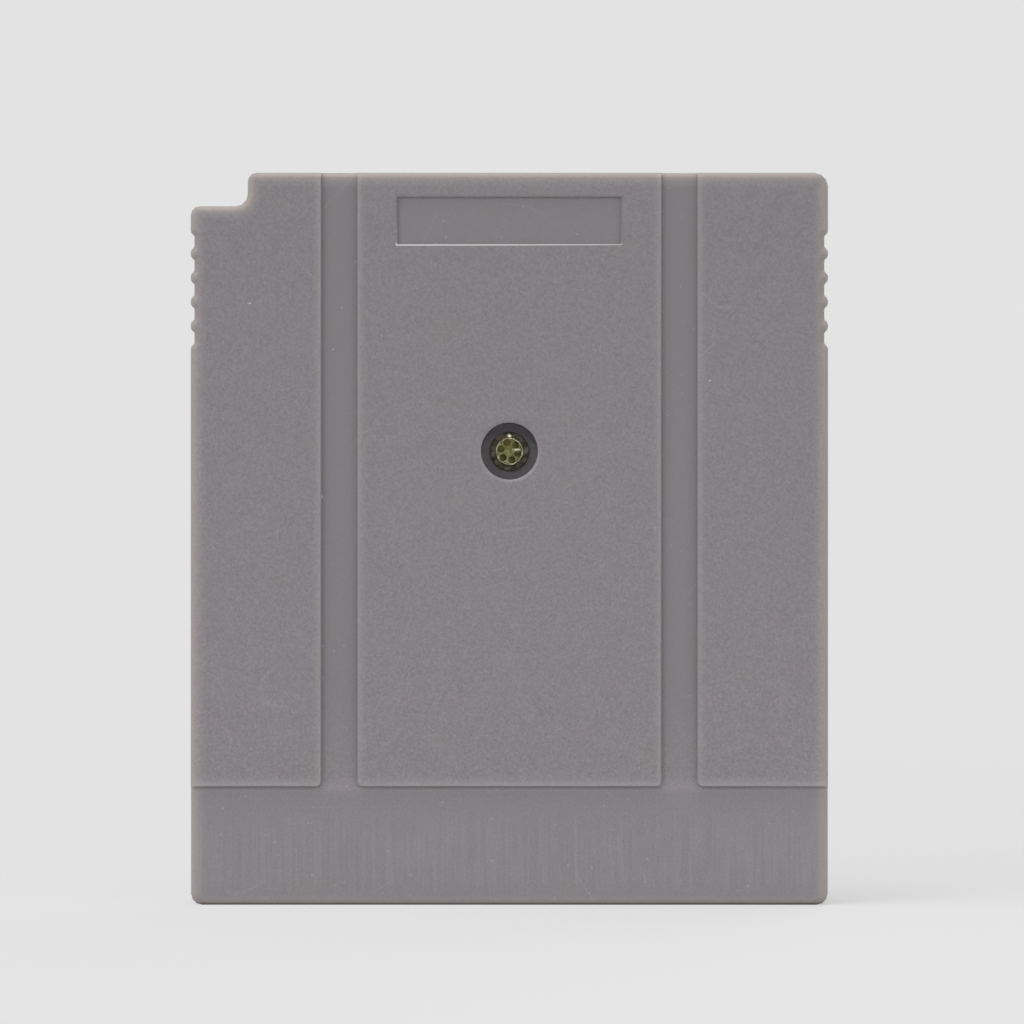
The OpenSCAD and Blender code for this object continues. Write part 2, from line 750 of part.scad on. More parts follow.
// A package of length l along X, with a round mark by its first leg
module package_body(l, w, t) color(package) difference() {
  mark_in = t * package_slope + 2 * mark_r;
  intersection() {
    package_profile(l, t, w + past);
    rotate(90) package_profile(w, t, l + past);
  }
  translate([mark_in - l / 2, mark_in - w / 2, chip_lift + t - mark_depth]) cylinder(h = past, r = mark_r);
}

// A row of bent legs along X, starting at the side of a package at y = start
module leg_row(count, pitch, w, start, t) {
  middle = chip_lift + t / 2;
  slope = leg_t * package_slope;
  knee = start + leg_reach / 3;
  heel = knee + leg_t;
  tip = start + leg_reach;
  for (i = [0 : count - 1])
    translate([(i - (count - 1) / 2) * pitch, 0, 0])
      rotate([90, 0, 90])
        linear_extrude(w, center = true)
          polygon([
            [start - slope, middle - leg_t / 2],
            [knee - leg_t, middle - leg_t / 2],
            [heel - leg_t, 0],
            [tip, 0],
            [tip, leg_t],
            [heel, leg_t],
            [knee, middle + leg_t / 2],
            [start - slope, middle + leg_t / 2],
            [start, middle]
          ]);
}

module legs_on_two_sides(count, pitch, w, across, t) color(tin)
  for (turn = [0, 180])
    rotate(turn) leg_row(count, pitch, w, across / 2, t);

module program_rom() on_board(rom_at) package_body(rom_l, rom_w, memory_t);
module program_rom_legs() on_board(rom_at)
  legs_on_two_sides(rom_legs, wide_pitch, wide_leg_w, rom_w, memory_t);
module save_ram() on_board(ram_at) package_body(ram_l, ram_w, memory_t);
module save_ram_legs() on_board(ram_at)
  legs_on_two_sides(ram_legs, wide_pitch, wide_leg_w, ram_w, memory_t);
module bank_controller() on_board(bank_at) package_body(bank_side, bank_side, small_chip_t);
module bank_controller_legs() on_board(bank_at)
  for (turn = [0, 90])
    rotate(turn) legs_on_two_sides(bank_legs, fine_pitch, fine_leg_w, bank_side, small_chip_t);
module power_monitor() on_board(monitor_at) package_body(monitor_l, monitor_w, small_chip_t);
module power_monitor_legs() on_board(monitor_at)
  legs_on_two_sides(monitor_legs, wide_pitch, wide_leg_w, monitor_w, small_chip_t);

// The cell stands on its lower tab, with the gap of one tab under that
cell_low = 2 * tab_t;
cell_high = cell_low + cell_t;

// Can with a rolled shoulder and the smaller cap that shows at the bottom
module coin_cell() color([0.80, 0.80, 0.79]) on_board(cell_at) rotate_extrude() polygon([
  [0, cell_low],
  [cell_d / 2 - cap_step - cell_edge, cell_low],
  [cell_d / 2 - cap_step, cell_low + cell_edge],
  [cell_d / 2 - cell_edge, cell_low + cell_edge],
  [cell_d / 2, cell_low + 2 * cell_edge],
  [cell_d / 2, cell_high - cell_edge],
  [cell_d / 2 - cell_edge, cell_high],
  [0, cell_high]
]);

// A tab from inside the rim of the cell, down to a foot on the board
module tab(level, reach) {
  knee = cell_d / 2 + tab_gap;
  heel = knee + level / 4;
  translate([tab_w / 2, 0, 0]) rotate([90, 0, -90]) linear_extrude(tab_w) polygon([
    [-reach, level],
    [knee, level],
    [heel, 0],
    [heel + tab_foot, 0],
    [heel + tab_foot, tab_t],
    [heel + tab_t, tab_t],
    [knee + tab_t, level + tab_t],
    [-reach, level + tab_t]
  ]);
}

module cell_plus_tab() color(tin) on_board(cell_at) rotate(180) tab(cell_high, cell_d / 4);
module cell_minus_tab() color(tin) on_board(cell_at) rotate(270) tab(tab_t, cell_d / 4);

// Small two-ended parts: a body between two metal ends
module small_body(l, w, t)
  translate([end_cap_l - l / 2, -w / 2, 0]) cube([l - 2 * end_cap_l, w, t]);
module small_ends(l, w, t) color(tin)
  for (side = [0, 1])
    mirror([side, 0, 0]) translate([l / 2 - end_cap_l, -w / 2, 0]) cube([end_cap_l, w, t]);

module ceramic_capacitors() color([0.62, 0.50, 0.36])
  for (at = capacitor_at)
    on_board(at) small_body(capacitor_l, capacitor_w, capacitor_t);
module capacitor_terminals()
  for (at = capacitor_at)
    on_board(at) small_ends(capacitor_l, capacitor_w, capacitor_t);
module chip_resistors() color([0.12, 0.12, 0.13])
  for (at = resistor_at)
    on_board(at) small_body(resistor_l, resistor_w, resistor_t);
module resistor_terminals()
  for (at = resistor_at)
    on_board(at) small_ends(resistor_l, resistor_w, resistor_t);

rear_shell();
front_shell();
security_screw();
circuit_board();
edge_contacts();
program_rom();
program_rom_legs();
save_ram();
save_ram_legs();
bank_controller();
bank_controller_legs();
power_monitor();
power_monitor_legs();
coin_cell();
cell_plus_tab();
cell_minus_tab();
ceramic_capacitors();
capacitor_terminals();
chip_resistors();
resistor_terminals();
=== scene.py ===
import json
import math
import bpy
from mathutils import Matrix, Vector


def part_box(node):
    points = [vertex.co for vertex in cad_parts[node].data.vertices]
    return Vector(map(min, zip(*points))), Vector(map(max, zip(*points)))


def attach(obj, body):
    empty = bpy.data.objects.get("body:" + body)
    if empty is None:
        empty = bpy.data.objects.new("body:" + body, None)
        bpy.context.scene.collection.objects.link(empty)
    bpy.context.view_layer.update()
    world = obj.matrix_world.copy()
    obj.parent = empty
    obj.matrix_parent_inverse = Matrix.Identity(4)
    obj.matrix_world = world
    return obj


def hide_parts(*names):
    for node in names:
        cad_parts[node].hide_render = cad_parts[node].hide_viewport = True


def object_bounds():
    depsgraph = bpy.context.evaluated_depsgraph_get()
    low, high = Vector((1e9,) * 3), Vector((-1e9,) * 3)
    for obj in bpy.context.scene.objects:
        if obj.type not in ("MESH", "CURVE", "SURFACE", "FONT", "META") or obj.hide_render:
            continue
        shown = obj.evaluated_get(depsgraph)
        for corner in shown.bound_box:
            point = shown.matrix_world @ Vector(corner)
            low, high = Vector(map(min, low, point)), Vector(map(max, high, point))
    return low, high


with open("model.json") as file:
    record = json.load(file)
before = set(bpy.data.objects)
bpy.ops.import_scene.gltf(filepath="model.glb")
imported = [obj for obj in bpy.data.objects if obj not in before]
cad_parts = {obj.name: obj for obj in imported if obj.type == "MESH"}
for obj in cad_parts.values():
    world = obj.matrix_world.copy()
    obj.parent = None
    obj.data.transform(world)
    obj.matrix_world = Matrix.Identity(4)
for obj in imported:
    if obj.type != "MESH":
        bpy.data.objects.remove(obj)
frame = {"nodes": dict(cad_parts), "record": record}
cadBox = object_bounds()
nodes = frame["nodes"]
rearFace = cadBox[0][1]
mm = 0.001
print("frame:", len(nodes), "nodes")


# Helpers for shader trees

def put(tree, kind, links=None, **settings):
    # one shader node; links gives an input a value, or another node's output
    node = tree.nodes.new("ShaderNode" + kind)
    for name, value in settings.items():
        setattr(node, name, value)
    for name, value in (links or {}).items():
        if isinstance(value, bpy.types.NodeSocket):
            tree.links.new(value, node.inputs[name])
        else:
            node.inputs[name].default_value = value
    return node


def calc(tree, operation, *values, clamp=False):
    return put(tree, "Math", dict(enumerate(values)), operation=operation, use_clamp=clamp).outputs[0]


def product(tree, first, *others):
    for other in others:
        first = calc(tree, "MULTIPLY", first, other)
    return first


def vectorCalc(tree, operation, first, second=(0, 0, 0)):
    # a vector, or a number where the operation is LENGTH
    node = put(tree, "VectorMath", {0: first, 1: second}, operation=operation)
    return node.outputs["Value" if operation == "LENGTH" else "Vector"]


def fade(tree, value, low, high, start=0.0, end=1.0):
    # value turned into start..end between low and high, held outside
    ends = {"From Min": low, "From Max": high, "To Min": start, "To Max": end}
    return put(tree, "MapRange", {"Value": value, **ends}).outputs["Result"]


def slope(tree, place, low, high, start=0.0, end=1.0):
    # fade for a place in metres, between two levels in millimetres
    return fade(tree, place, low * mm, high * mm, start, end)


def under(tree, place, level):
    return calc(tree, "LESS_THAN", place, level * mm)


def over(tree, place, level):
    return calc(tree, "GREATER_THAN", place, level * mm)


def blend(tree, amount, first, second, mode="MIX"):
    return put(tree, "Mix", {0: amount, 6: first, 7: second}, data_type="RGBA", blend_type=mode).outputs[2]


def coat(tree, colour, mask, tint):
    # tint is a second colour, and how much of it shows where the mask is full
    return blend(tree, product(tree, mask, tint[1]), colour, tint[0])


def dim(tree, tone, mask, level):
    # tone times level where the mask is full
    return product(tree, tone, fade(tree, mask, 0.0, 1.0, 1.0, level))


def darken(tree, colour, tone):
    shade = put(tree, "CombineColor", {"Red": tone, "Green": tone, "Blue": tone}).outputs["Color"]
    return blend(tree, 1.0, colour, shade, "MULTIPLY")


def grey(level):
    return (level, level, level, 1)


def objectPlace(tree):
    return put(tree, "TexCoord").outputs["Object"]


def axes(tree):
    return put(tree, "SeparateXYZ", {"Vector": objectPlace(tree)}).outputs


def noise(tree, place, scale, detail):
    return put(tree, "TexNoise", {"Vector": place, "Scale": scale, "Detail": detail}).outputs["Fac"]


def newGroup(name, inputs, outputs):
    tree = bpy.data.node_groups.new(name, "ShaderNodeTree")
    for label, value in inputs.items():
        socket = tree.interface.new_socket(label, in_out="INPUT", socket_type="NodeSocketFloat")
        socket.default_value = value
    for label in outputs:
        tree.interface.new_socket(label, in_out="OUTPUT", socket_type="NodeSocketFloat")
    start = tree.nodes.new("NodeGroupInput")
    end = tree.nodes.new("NodeGroupOutput")
    return tree, start.outputs, end.inputs


def useGroup(tree, group, **values):
    return put(tree, "Group", values, node_tree=group).outputs


def newMaterial(name, **fixed):
    # a material with one Principled shader, whose plain values are set on its sockets
    material = bpy.data.materials.new(name)
    material.use_nodes = True
    tree = material.node_tree
    shader = tree.nodes["Principled BSDF"]
    for label, value in fixed.items():
        shader.inputs[label.replace("_", " ")].default_value = value
    return material, tree, shader


def connect(tree, shader, colour, roughness, height, depth):
    # depth is how far the bump stands out, in millimetres
    tree.links.new(colour, shader.inputs["Base Color"])
    tree.links.new(roughness, shader.inputs["Roughness"])
    bump = put(tree, "Bump", {"Height": height, "Distance": depth * mm, "Strength": 1.0})
    tree.links.new(bump.outputs["Normal"], shader.inputs["Normal"])


# Effects that several materials share; every Size, Spacing and Width is in millimetres

grainParts = {"wideStep": 9.0, "windingStep": 1.7, "fineShare": 0.6, "wideShare": 0.2,
              "lineShare": 0.3, "lineWidth": 0.05}
scratchParts = {"lines": 9.0, "steepness": 6.0, "breakStep": 3.1, "breakEdge": 0.08}


def makeGrain():
    # fine moulded or etched grain: a height and a tone, both about 0.5
    parts = grainParts
    tree, given, out = newGroup("fineGrain", {"Size": 0.25, "Roundness": 0.5}, ["Height", "Tone"])
    scale = calc(tree, "DIVIDE", 1000.0, given["Size"])
    place = objectPlace(tree)
    fine = put(tree, "TexNoise",
               {"Vector": place, "Scale": scale, "Detail": 3.0, "Roughness": given["Roundness"]}).outputs["Fac"]
    wide = noise(tree, place, calc(tree, "DIVIDE", scale, parts["wideStep"]), 2.0)
    winding = noise(tree, place, calc(tree, "DIVIDE", scale, parts["windingStep"]), 1.0)
    line = calc(tree, "ABSOLUTE", calc(tree, "SUBTRACT", winding, 0.5))
    tone = product(tree, fade(tree, fine, 0.3, 0.7), parts["fineShare"])
    tone = calc(tree, "ADD", tone, fade(tree, line, 0.0, parts["lineWidth"], parts["lineShare"], 0.0))
    tone = calc(tree, "ADD", tone, product(tree, wide, parts["wideShare"]))
    tree.links.new(fine, out["Height"])
    tree.links.new(tone, out["Tone"])
    return tree


def makeSpecks():
    # rare pale specks: one in some of the cells of a random lattice
    tree, given, out = newGroup("strayDust", {"Spacing": 1.4, "Size": 0.07, "Amount": 0.3}, ["Mask"])
    scale = calc(tree, "DIVIDE", 1000.0, given["Spacing"])
    cells = put(tree, "TexVoronoi", {"Vector": objectPlace(tree), "Scale": scale, "Randomness": 1.0}).outputs
    chance = put(tree, "SeparateColor", {"Color": cells["Color"]}).outputs
    reach = calc(tree, "DIVIDE", given["Size"], given["Spacing"])
    spot = fade(tree, calc(tree, "DIVIDE", cells["Distance"], reach), 0.4, 1.0, 1.0, 0.0)
    picked = calc(tree, "LESS_THAN", chance["Red"], given["Amount"])
    tree.links.new(product(tree, spot, chance["Green"], picked), out["Mask"])
    return tree


def makeScratches():
    # thin curved lines: the level lines of a slow noise, broken up by a second one
    parts = scratchParts
    tree, given, out = newGroup("hairScratches", {"Spacing": 14.0, "Width": 0.05, "Amount": 0.4}, ["Mask"])
    scale = calc(tree, "DIVIDE", 1000.0, given["Spacing"])
    place = objectPlace(tree)
    level = product(tree, noise(tree, place, scale, 0.0), parts["lines"])
    away = calc(tree, "ABSOLUTE", calc(tree, "SUBTRACT", calc(tree, "FRACT", level), 0.5))
    thin = calc(tree, "DIVIDE", product(tree, given["Width"], parts["steepness"]), given["Spacing"])
    line = fade(tree, calc(tree, "DIVIDE", away, thin), 0.3, 1.0, 1.0, 0.0)
    broken = noise(tree, place, product(tree, scale, parts["breakStep"]), 1.0)
    cut = calc(tree, "SUBTRACT", 1.0, given["Amount"])
    shown = fade(tree, broken, cut, calc(tree, "ADD", cut, parts["breakEdge"]))
    tree.links.new(product(tree, line, shown), out["Mask"])
    return tree


def makeTurned():
    # how far a surface is turned away from the two broad faces
    tree, given, out = newGroup("turnedAway", {"Start": 0.1, "End": 0.8}, ["Mask"])
    normal = put(tree, "SeparateXYZ", {"Vector": put(tree, "TexCoord").outputs["Normal"]})
    away = calc(tree, "SUBTRACT", 1.0, calc(tree, "ABSOLUTE", normal.outputs["Y"]))
    tree.links.new(fade(tree, away, given["Start"], given["End"]), out["Mask"])
    return tree


fineGrain = makeGrain()
strayDust = makeSpecks()
hairScratches = makeScratches()
turnedAway = makeTurned()
print("shared effects ready")


def dust(tree, spacing, size, amount):
    return useGroup(tree, strayDust, Spacing=spacing, Size=size, Amount=amount)["Mask"]


def scratches(tree, spacing, width, amount):
    return useGroup(tree, hairScratches, Spacing=spacing, Width=width, Amount=amount)["Mask"]


def turned(tree, start, end):
    return useGroup(tree, turnedAway, Start=start, End=end)["Mask"]


# Moulded shells: where things lie, in millimetres, and then the plastic

shellShape = {
    "halfWide": 28.5,
    "high": 65.5,
    "notch": (5.1, 3.0, 1.1),       # width, depth, inner radius
    "panelWide": 11.7,
    "grooveWide": 3.2,
    "stripHigh": 10.6,
    "wellRadius": 2.55,
    "wellMiddle": 40.6,
    "badgeFoot": 59.05,
    "badgeTop": 63.5,
    "mouthReach": 10.6,             # the badge recess and the well open within this of the middle
    "mouthAbove": 20.0,
    "mouthEdge": 0.16,
    "mouthSteps": 2,
    "rearLevel": -2.4,              # levels are along Y, and the rear face is at -3.9
    "grooveLevel": -3.6,
    "badgeLevel": -3.5,
    "panelLevel": -3.65,
    "wallLevel": -3.46,
    "mouthLevel": -3.56,
    "wellLevels": (-3.85, -3.4, -0.4),  # where its shade starts, where it is full, and its floor
    "smoothAngle": 36,
    "mergeWithin": 0.0005,
    "flatWithin": 0.1,
}

shellLook = {
    "plum": (0.178, 0.162, 0.180, 1),
    "moss": (0.176, 0.166, 0.172, 1),
    "blotchScale": 260.0,
    # worn and soiled places, and painted highlights and painted light on edges, walls and mouths: a colour, and
    # how much of it shows at most
    "edgeBand": ((0.310, 0.302, 0.280, 1), 0.34),
    "wall": ((0.30, 0.285, 0.29, 1), 0.9),
    "paintedLight": ((0.27, 0.25, 0.245, 1), 0.55),
    "rim": ((0.48, 0.405, 0.345, 1), 0.42),
    "lip": ((0.43, 0.42, 0.415, 1), 0.85),
    "streak": ((0.34, 0.33, 0.33, 1), 0.09),
    "scratch": ((0.42, 0.41, 0.42, 1), 0.08),
    "dust": ((0.50, 0.48, 0.46, 1), 0.45),
    "mark": (grey(0.5), 0.6),
    "marks": [(-23.2, 53.80, 0.18, 0.07), (17.9, 46.9, 0.16, 0.07), (-16.75, 36.5, 0.10, 0.18)],
    "bandWide": 0.9,
    "bandPower": 1.6,
    "rimReach": 1.6,
    "rimPower": 1.8,
    "sideShare": 0.3,               # share of the painted edge light and wear left on what faces fully sideways
    "quietLip": 0.1,                # share of the lip's colour away from the badge's lower edge
    "streakScale": 4200.0,
    "streakUp": 0.03,               # height counts this much in the noise, so that streaks are long
    "streakStart": (0.8, 2.2),      # heights between which the streaks come in, and go out again
    "streakEnd": (6, 9),
    # tones that the colour is multiplied by; the grooves are partly painted shade, their sides and the well
    # painted shade, footTone a painted contact shadow and underPanels painted light
    "grooveTone": 0.87,
    "grimeAndShadeTone": 0.93,
    "badgeTone": 0.96,
    "wellTone": 0.72,
    "lowTone": 0.985,
    "highTone": 0.84,
    "toneHeights": (15, 60),
    "footTone": 0.28,
    "footHeights": (0.08, 0.32),
    "underPanels": 0.18,
    # grain
    "grainSize": 0.20,
    "grainRoundness": 0.62,
    "grainTone": 0.54,
    "smoothTone": 0.35,             # share of the grain's tone left in grooves, badge and strip
    "grainDepth": 0.02,
    "smoothDepth": 0.25,
    "roughness": (0.46, 0.38),      # moulded grain, and what is rubbed smooth
    "grainRoughness": 0.16,
}


def spotAt(tree, x, z, wide, high, level=-3.2):
    # an oval mark on what lies behind a level of Y, all in millimetres
    place = vectorCalc(tree, "ADD", objectPlace(tree), (-x * mm, 0, -z * mm))
    place = vectorCalc(tree, "MULTIPLY", place, (1 / (wide * mm), 0, 1 / (high * mm)))
    spot = fade(tree, vectorCalc(tree, "LENGTH", place), 0.5, 1.0, 1.0, 0.0)
    return product(tree, spot, under(tree, axes(tree)["Y"], level))


def distanceToOutline(tree, x, z):
    # from a point on a broad face to the nearest side, in metres; the notch has a rounded inner
    # corner, and the foot counts less than the other sides
    half, high = shellShape["halfWide"] * mm, shellShape["high"] * mm
    wide, deep, inner = [value * mm for value in shellShape["notch"]]
    pastX = calc(tree, "MAXIMUM", calc(tree, "ADD", x, half - wide + inner), 0.0)
    pastZ = calc(tree, "MAXIMUM", calc(tree, "SUBTRACT", high - deep + inner, z), 0.0)
    past = put(tree, "CombineXYZ", {"X": pastX, "Y": pastZ}).outputs["Vector"]
    nearest = calc(tree, "SUBTRACT", vectorCalc(tree, "LENGTH", past), inner)
    side = calc(tree, "SUBTRACT", half, calc(tree, "ABSOLUTE", x))
    top = calc(tree, "SUBTRACT", high, z)
    foot = product(tree, z, 1.6)
    for other in (side, top, foot):
        nearest = calc(tree, "MINIMUM", nearest, other)
    return nearest


def shellMasks(tree, x, y, z, outline):
    # where each kind of surface lies, from 0 to 1
    shape = shellShape
    strip = shape["stripHigh"]
    across = calc(tree, "ABSOLUTE", x)
    rear = under(tree, y, shape["rearLevel"])
    mask = {"rear": rear}

    # grooves with painted shade along both sides, and the plain strip below them
    half = shape["grooveWide"] / 2 * mm
    middle = (shape["halfWide"] - shape["panelWide"]) * mm - half
    off = calc(tree, "ABSOLUTE", calc(tree, "SUBTRACT", across, middle))
    sunk = over(tree, y, shape["grooveLevel"])
    above = slope(tree, z, strip - 0.2, strip + 9)
    mask["groove"] = product(tree, calc(tree, "LESS_THAN", off, half), sunk, rear, above)
    # painted shade along both sides of each groove
    mask["grimeAndShade"] = product(tree, mask["groove"], fade(tree, off, 0.25 * half, half))
    mask["strip"] = product(tree, rear, slope(tree, z, strip, strip + 1, 1.0, 0.0))
    mask["badge"] = product(tree, under(tree, y, shape["badgeLevel"]), over(tree, y, shape["grooveLevel"]))

    # a pale band along the panels' edges, a painted highlight, and the short walls round panels and badge,
    # painted lighter than their shade
    fromEdge = calc(tree, "MINIMUM", calc(tree, "SUBTRACT", off, half), calc(tree, "SUBTRACT", z, strip * mm))
    band = calc(tree, "POWER", slope(tree, fromEdge, 0.0, shellLook["bandWide"], 1.0, 0.0),
                shellLook["bandPower"])
    mask["band"] = product(tree, band, rear, under(tree, y, shape["panelLevel"]))
    mask["wall"] = product(tree, turned(tree, 0.5, 0.8), rear, under(tree, y, shape["wallLevel"]),
                           over(tree, outline, 0.8))

    # rounded mouths of the badge recess and the well, painted pale as a highlight, palest along the badge's
    # lower edge, which faces the light from above
    top = slope(tree, z, shape["badgeTop"] - 0.1, shape["badgeTop"] + 0.1, 1.0, 0.0)
    fromFoot = calc(tree, "ABSOLUTE", calc(tree, "SUBTRACT", z, shape["badgeFoot"] * mm))
    lowest = fade(tree, under(tree, fromFoot, 0.14), 0.0, 1.0, shellLook["quietLip"], 1.0)
    mask["lip"] = product(tree, turned(tree, 0.01, 0.06), under(tree, y, shape["mouthLevel"]),
                          under(tree, across, shape["mouthReach"]), top, lowest,
                          over(tree, z, shape["mouthAbove"]))

    # inside of the screw well, painted darker as shade, partly dirt
    mouth, deep, bottom = shape["wellLevels"]
    aside = put(tree, "CombineXYZ", {"X": x, "Y": calc(tree, "SUBTRACT", z, shape["wellMiddle"] * mm)})
    aside = vectorCalc(tree, "LENGTH", aside.outputs["Vector"])
    mask["well"] = product(tree, under(tree, aside, shape["wellRadius"] + 0.05), slope(tree, y, mouth, deep),
                           under(tree, y, bottom))
    return mask


def shellTone(tree, z, mask, grain):
    # what the base colour is multiplied by: fine grain; the grooves darker, partly painted shade; painted shade
    # along the grooves' sides and in the well; the badge a little darker; darker towards the top; and painted
    # light just under the panels
    look = shellLook
    strip = shellShape["stripHigh"]
    smooth = calc(tree, "MAXIMUM", mask["groove"], mask["badge"])
    smooth = calc(tree, "MAXIMUM", smooth, product(tree, mask["strip"], 0.75))
    weight = fade(tree, smooth, 0.0, 1.0, look["grainTone"], look["grainTone"] * look["smoothTone"])
    tone = product(tree, calc(tree, "SUBTRACT", grain["Tone"], 0.5), weight)
    tone = calc(tree, "ADD", tone, 1.0)
    # painted shade in the grooves, along their sides and in the well; the badge a little darker
    for name in ("groove", "grimeAndShade", "badge", "well"):
        tone = dim(tree, tone, mask[name], look[name + "Tone"])
    tone = product(tree, tone, slope(tree, z, *look["toneHeights"], look["lowTone"], look["highTone"]))
    # painted light: the strip lighter just under the panels' foot, where their shadow falls
    paintedLight = product(tree, mask["strip"], slope(tree, z, strip - 0.7, strip, 0.0, look["underPanels"]))
    return product(tree, tone, calc(tree, "ADD", paintedLight, 1.0))


def makeShellPlastic():
    look = shellLook
    material, tree, shader = newMaterial("greyShell")
    place = axes(tree)
    x, y, z = place["X"], place["Y"], place["Z"]
    outline = distanceToOutline(tree, x, z)
    mask = shellMasks(tree, x, y, z, outline)
    grain = useGroup(tree, fineGrain, Size=look["grainSize"], Roundness=look["grainRoundness"])
    blotch = noise(tree, objectPlace(tree), look["blotchScale"], 3.0)
    colour = blend(tree, fade(tree, blotch, 0.4, 0.75), look["plum"], look["moss"])
    colour = darken(tree, colour, shellTone(tree, z, mask, grain))

    # edges painted pale, as painted highlights and partly edge wear: the outline over about a millimetre, and
    # each raised edge; less on the sides
    facing = fade(tree, turned(tree, 0.75, 0.98), 0.0, 1.0, 1.0, look["sideShare"])
    near = calc(tree, "POWER", slope(tree, outline, 0.0, look["rimReach"], 1.0, 0.0), look["rimPower"])
    edges = {
        "edgeBand": mask["band"],
        "wall": mask["wall"],
        "paintedLight": product(tree, turned(tree, 0.02, 0.5), facing),
        "rim": product(tree, near, facing),
        "lip": mask["lip"],
    }
    for name, where in edges.items():
        colour = coat(tree, colour, where, look[name])

    # rubbed streaks that run up the plain strip
    stretched = vectorCalc(tree, "MULTIPLY", objectPlace(tree), (1, 1, look["streakUp"]))
    streak = fade(tree, noise(tree, stretched, look["streakScale"], 2.0), 0.40, 0.66)
    streak = product(tree, streak, slope(tree, z, *look["streakStart"]),
                     slope(tree, z, *look["streakEnd"], 1.0, 0.0), mask["rear"])
    colour = coat(tree, colour, streak, look["streak"])

    # loose wear, and the dark line at the foot, a painted contact shadow
    colour = coat(tree, colour, scratches(tree, spacing=16.0, width=0.06, amount=0.42), look["scratch"])
    colour = coat(tree, colour, dust(tree, spacing=1.0, size=0.11, amount=0.5), look["dust"])
    for mark in look["marks"]:
        colour = coat(tree, colour, spotAt(tree, *mark), look["mark"])
    # painted contact shadow along the foot
    colour = darken(tree, colour, slope(tree, z, *look["footHeights"], look["footTone"], 1.0))

    polished = calc(tree, "MAXIMUM", streak, mask["groove"])
    rough = fade(tree, polished, 0.0, 1.0, *look["roughness"])
    rough = calc(tree, "ADD", product(tree, grain["Tone"], look["grainRoughness"]), rough)
    height = dim(tree, grain["Height"], mask["groove"], look["smoothDepth"])
    connect(tree, shader, colour, rough, height, look["grainDepth"])
    return material


# Metals

screwLook = {
    "bright": (0.13, 0.128, 0.080, 1),
    "bareAndGlint": (0.21, 0.207, 0.155, 1),
    "dull": (0.052, 0.050, 0.018, 1),
    "pocket": (0.030, 0.028, 0.010, 1),
    # dirt and painted shade on the flange and in the pockets
    "dirtAndShade": (0.014, 0.0125, 0.004, 1),
    "grimeAndShade": (0.148, 0.129, 0.086, 1),
    "patches": 0.6,
    "scratch": 0.3,
    # bare spots painted where glints fall: painted highlights, the flange's one under the spark lamp's glint
    "wipedGlints": [(0.0, 42.04, 0.23, 0.21), (-1.02, 40.05, 0.12, 0.22), (0.70, 40.74, 0.36, 0.13)],
    "glintLevel": -1.0,
    "middle": 40.6,
    "crownLevels": (-1.35, -1.55),  # along Y
    "threadLevels": (-0.7, -0.6),
    "ring": (1.08, 1.13),           # from the axis
    "pockets": (1.2, 1.3),
    "crown": (1.28, 1.32),
    "stainScale": 1900.0,
    "flangeRoughness": 0.10,
    "grainDepth": 0.002,
}


def makeScrewMetal():
    # yellow plating, worn bright on the crown, with bare spots painted as highlights, and dark with dirt and
    # painted shade on the flange and in the pockets
    look = screwLook
    material, tree, shader = newMaterial("yellowPlating", Specular_IOR_Level=0.2)
    grain = useGroup(tree, fineGrain, Size=0.12, Roundness=0.6)
    stain = noise(tree, objectPlace(tree), look["stainScale"], 4.0)
    y = axes(tree)["Y"]
    clean = calc(tree, "MAXIMUM", slope(tree, y, *look["crownLevels"]), slope(tree, y, *look["threadLevels"]))
    fromAxis = vectorCalc(tree, "ADD", objectPlace(tree), (0, 0, -look["middle"] * mm))
    fromAxis = vectorCalc(tree, "LENGTH", vectorCalc(tree, "MULTIPLY", fromAxis, (1, 0, 1)))
    inPocket = slope(tree, fromAxis, *look["pockets"], 1.0, 0.0)
    onCrown = slope(tree, fromAxis, *look["crown"], 1.0, 0.0)

    patch = fade(tree, stain, 0.44, 0.62)
    ring = product(tree, slope(tree, fromAxis, *look["ring"], 0.0, 0.75), fade(tree, patch, 0.0, 1.0, 0.4, 1.0))
    worn = coat(tree, look["dull"], patch, (look["bright"], look["patches"]))
    worn = blend(tree, ring, worn, look["bareAndGlint"])
    scratch = scratches(tree, spacing=0.9, width=0.02, amount=0.5)
    worn = coat(tree, worn, scratch, (look["bright"], look["scratch"]))
    # painted highlights: bare spots where the glints fall
    wipedGlints = 0.0
    for spot in look["wipedGlints"]:
        wipedGlints = calc(tree, "MAXIMUM", wipedGlints, spotAt(tree, *spot, level=look["glintLevel"]))
    # dirt and painted shade on the flange and in the pockets, mottled by the stain
    soiledAndShaded = blend(tree, fade(tree, stain, 0.38, 0.55), look["dirtAndShade"], look["pocket"])
    onFlange = blend(tree, fade(tree, stain, 0.34, 0.62), look["dirtAndShade"], look["grimeAndShade"])
    soiledAndShaded = blend(tree, inPocket, onFlange, soiledAndShaded)
    colour = blend(tree, wipedGlints, blend(tree, clean, soiledAndShaded, worn), look["bareAndGlint"])

    metal = calc(tree, "MAXIMUM", calc(tree, "MAXIMUM", clean, inPocket), wipedGlints)
    tree.links.new(metal, shader.inputs["Metallic"])
    rough = product(tree, fade(tree, grain["Tone"], 0.3, 0.7, 0.16, 0.30), onCrown)
    rough = calc(tree, "MAXIMUM", rough, look["flangeRoughness"])
    connect(tree, shader, colour, rough, product(tree, grain["Height"], onCrown), look["grainDepth"])
    return material


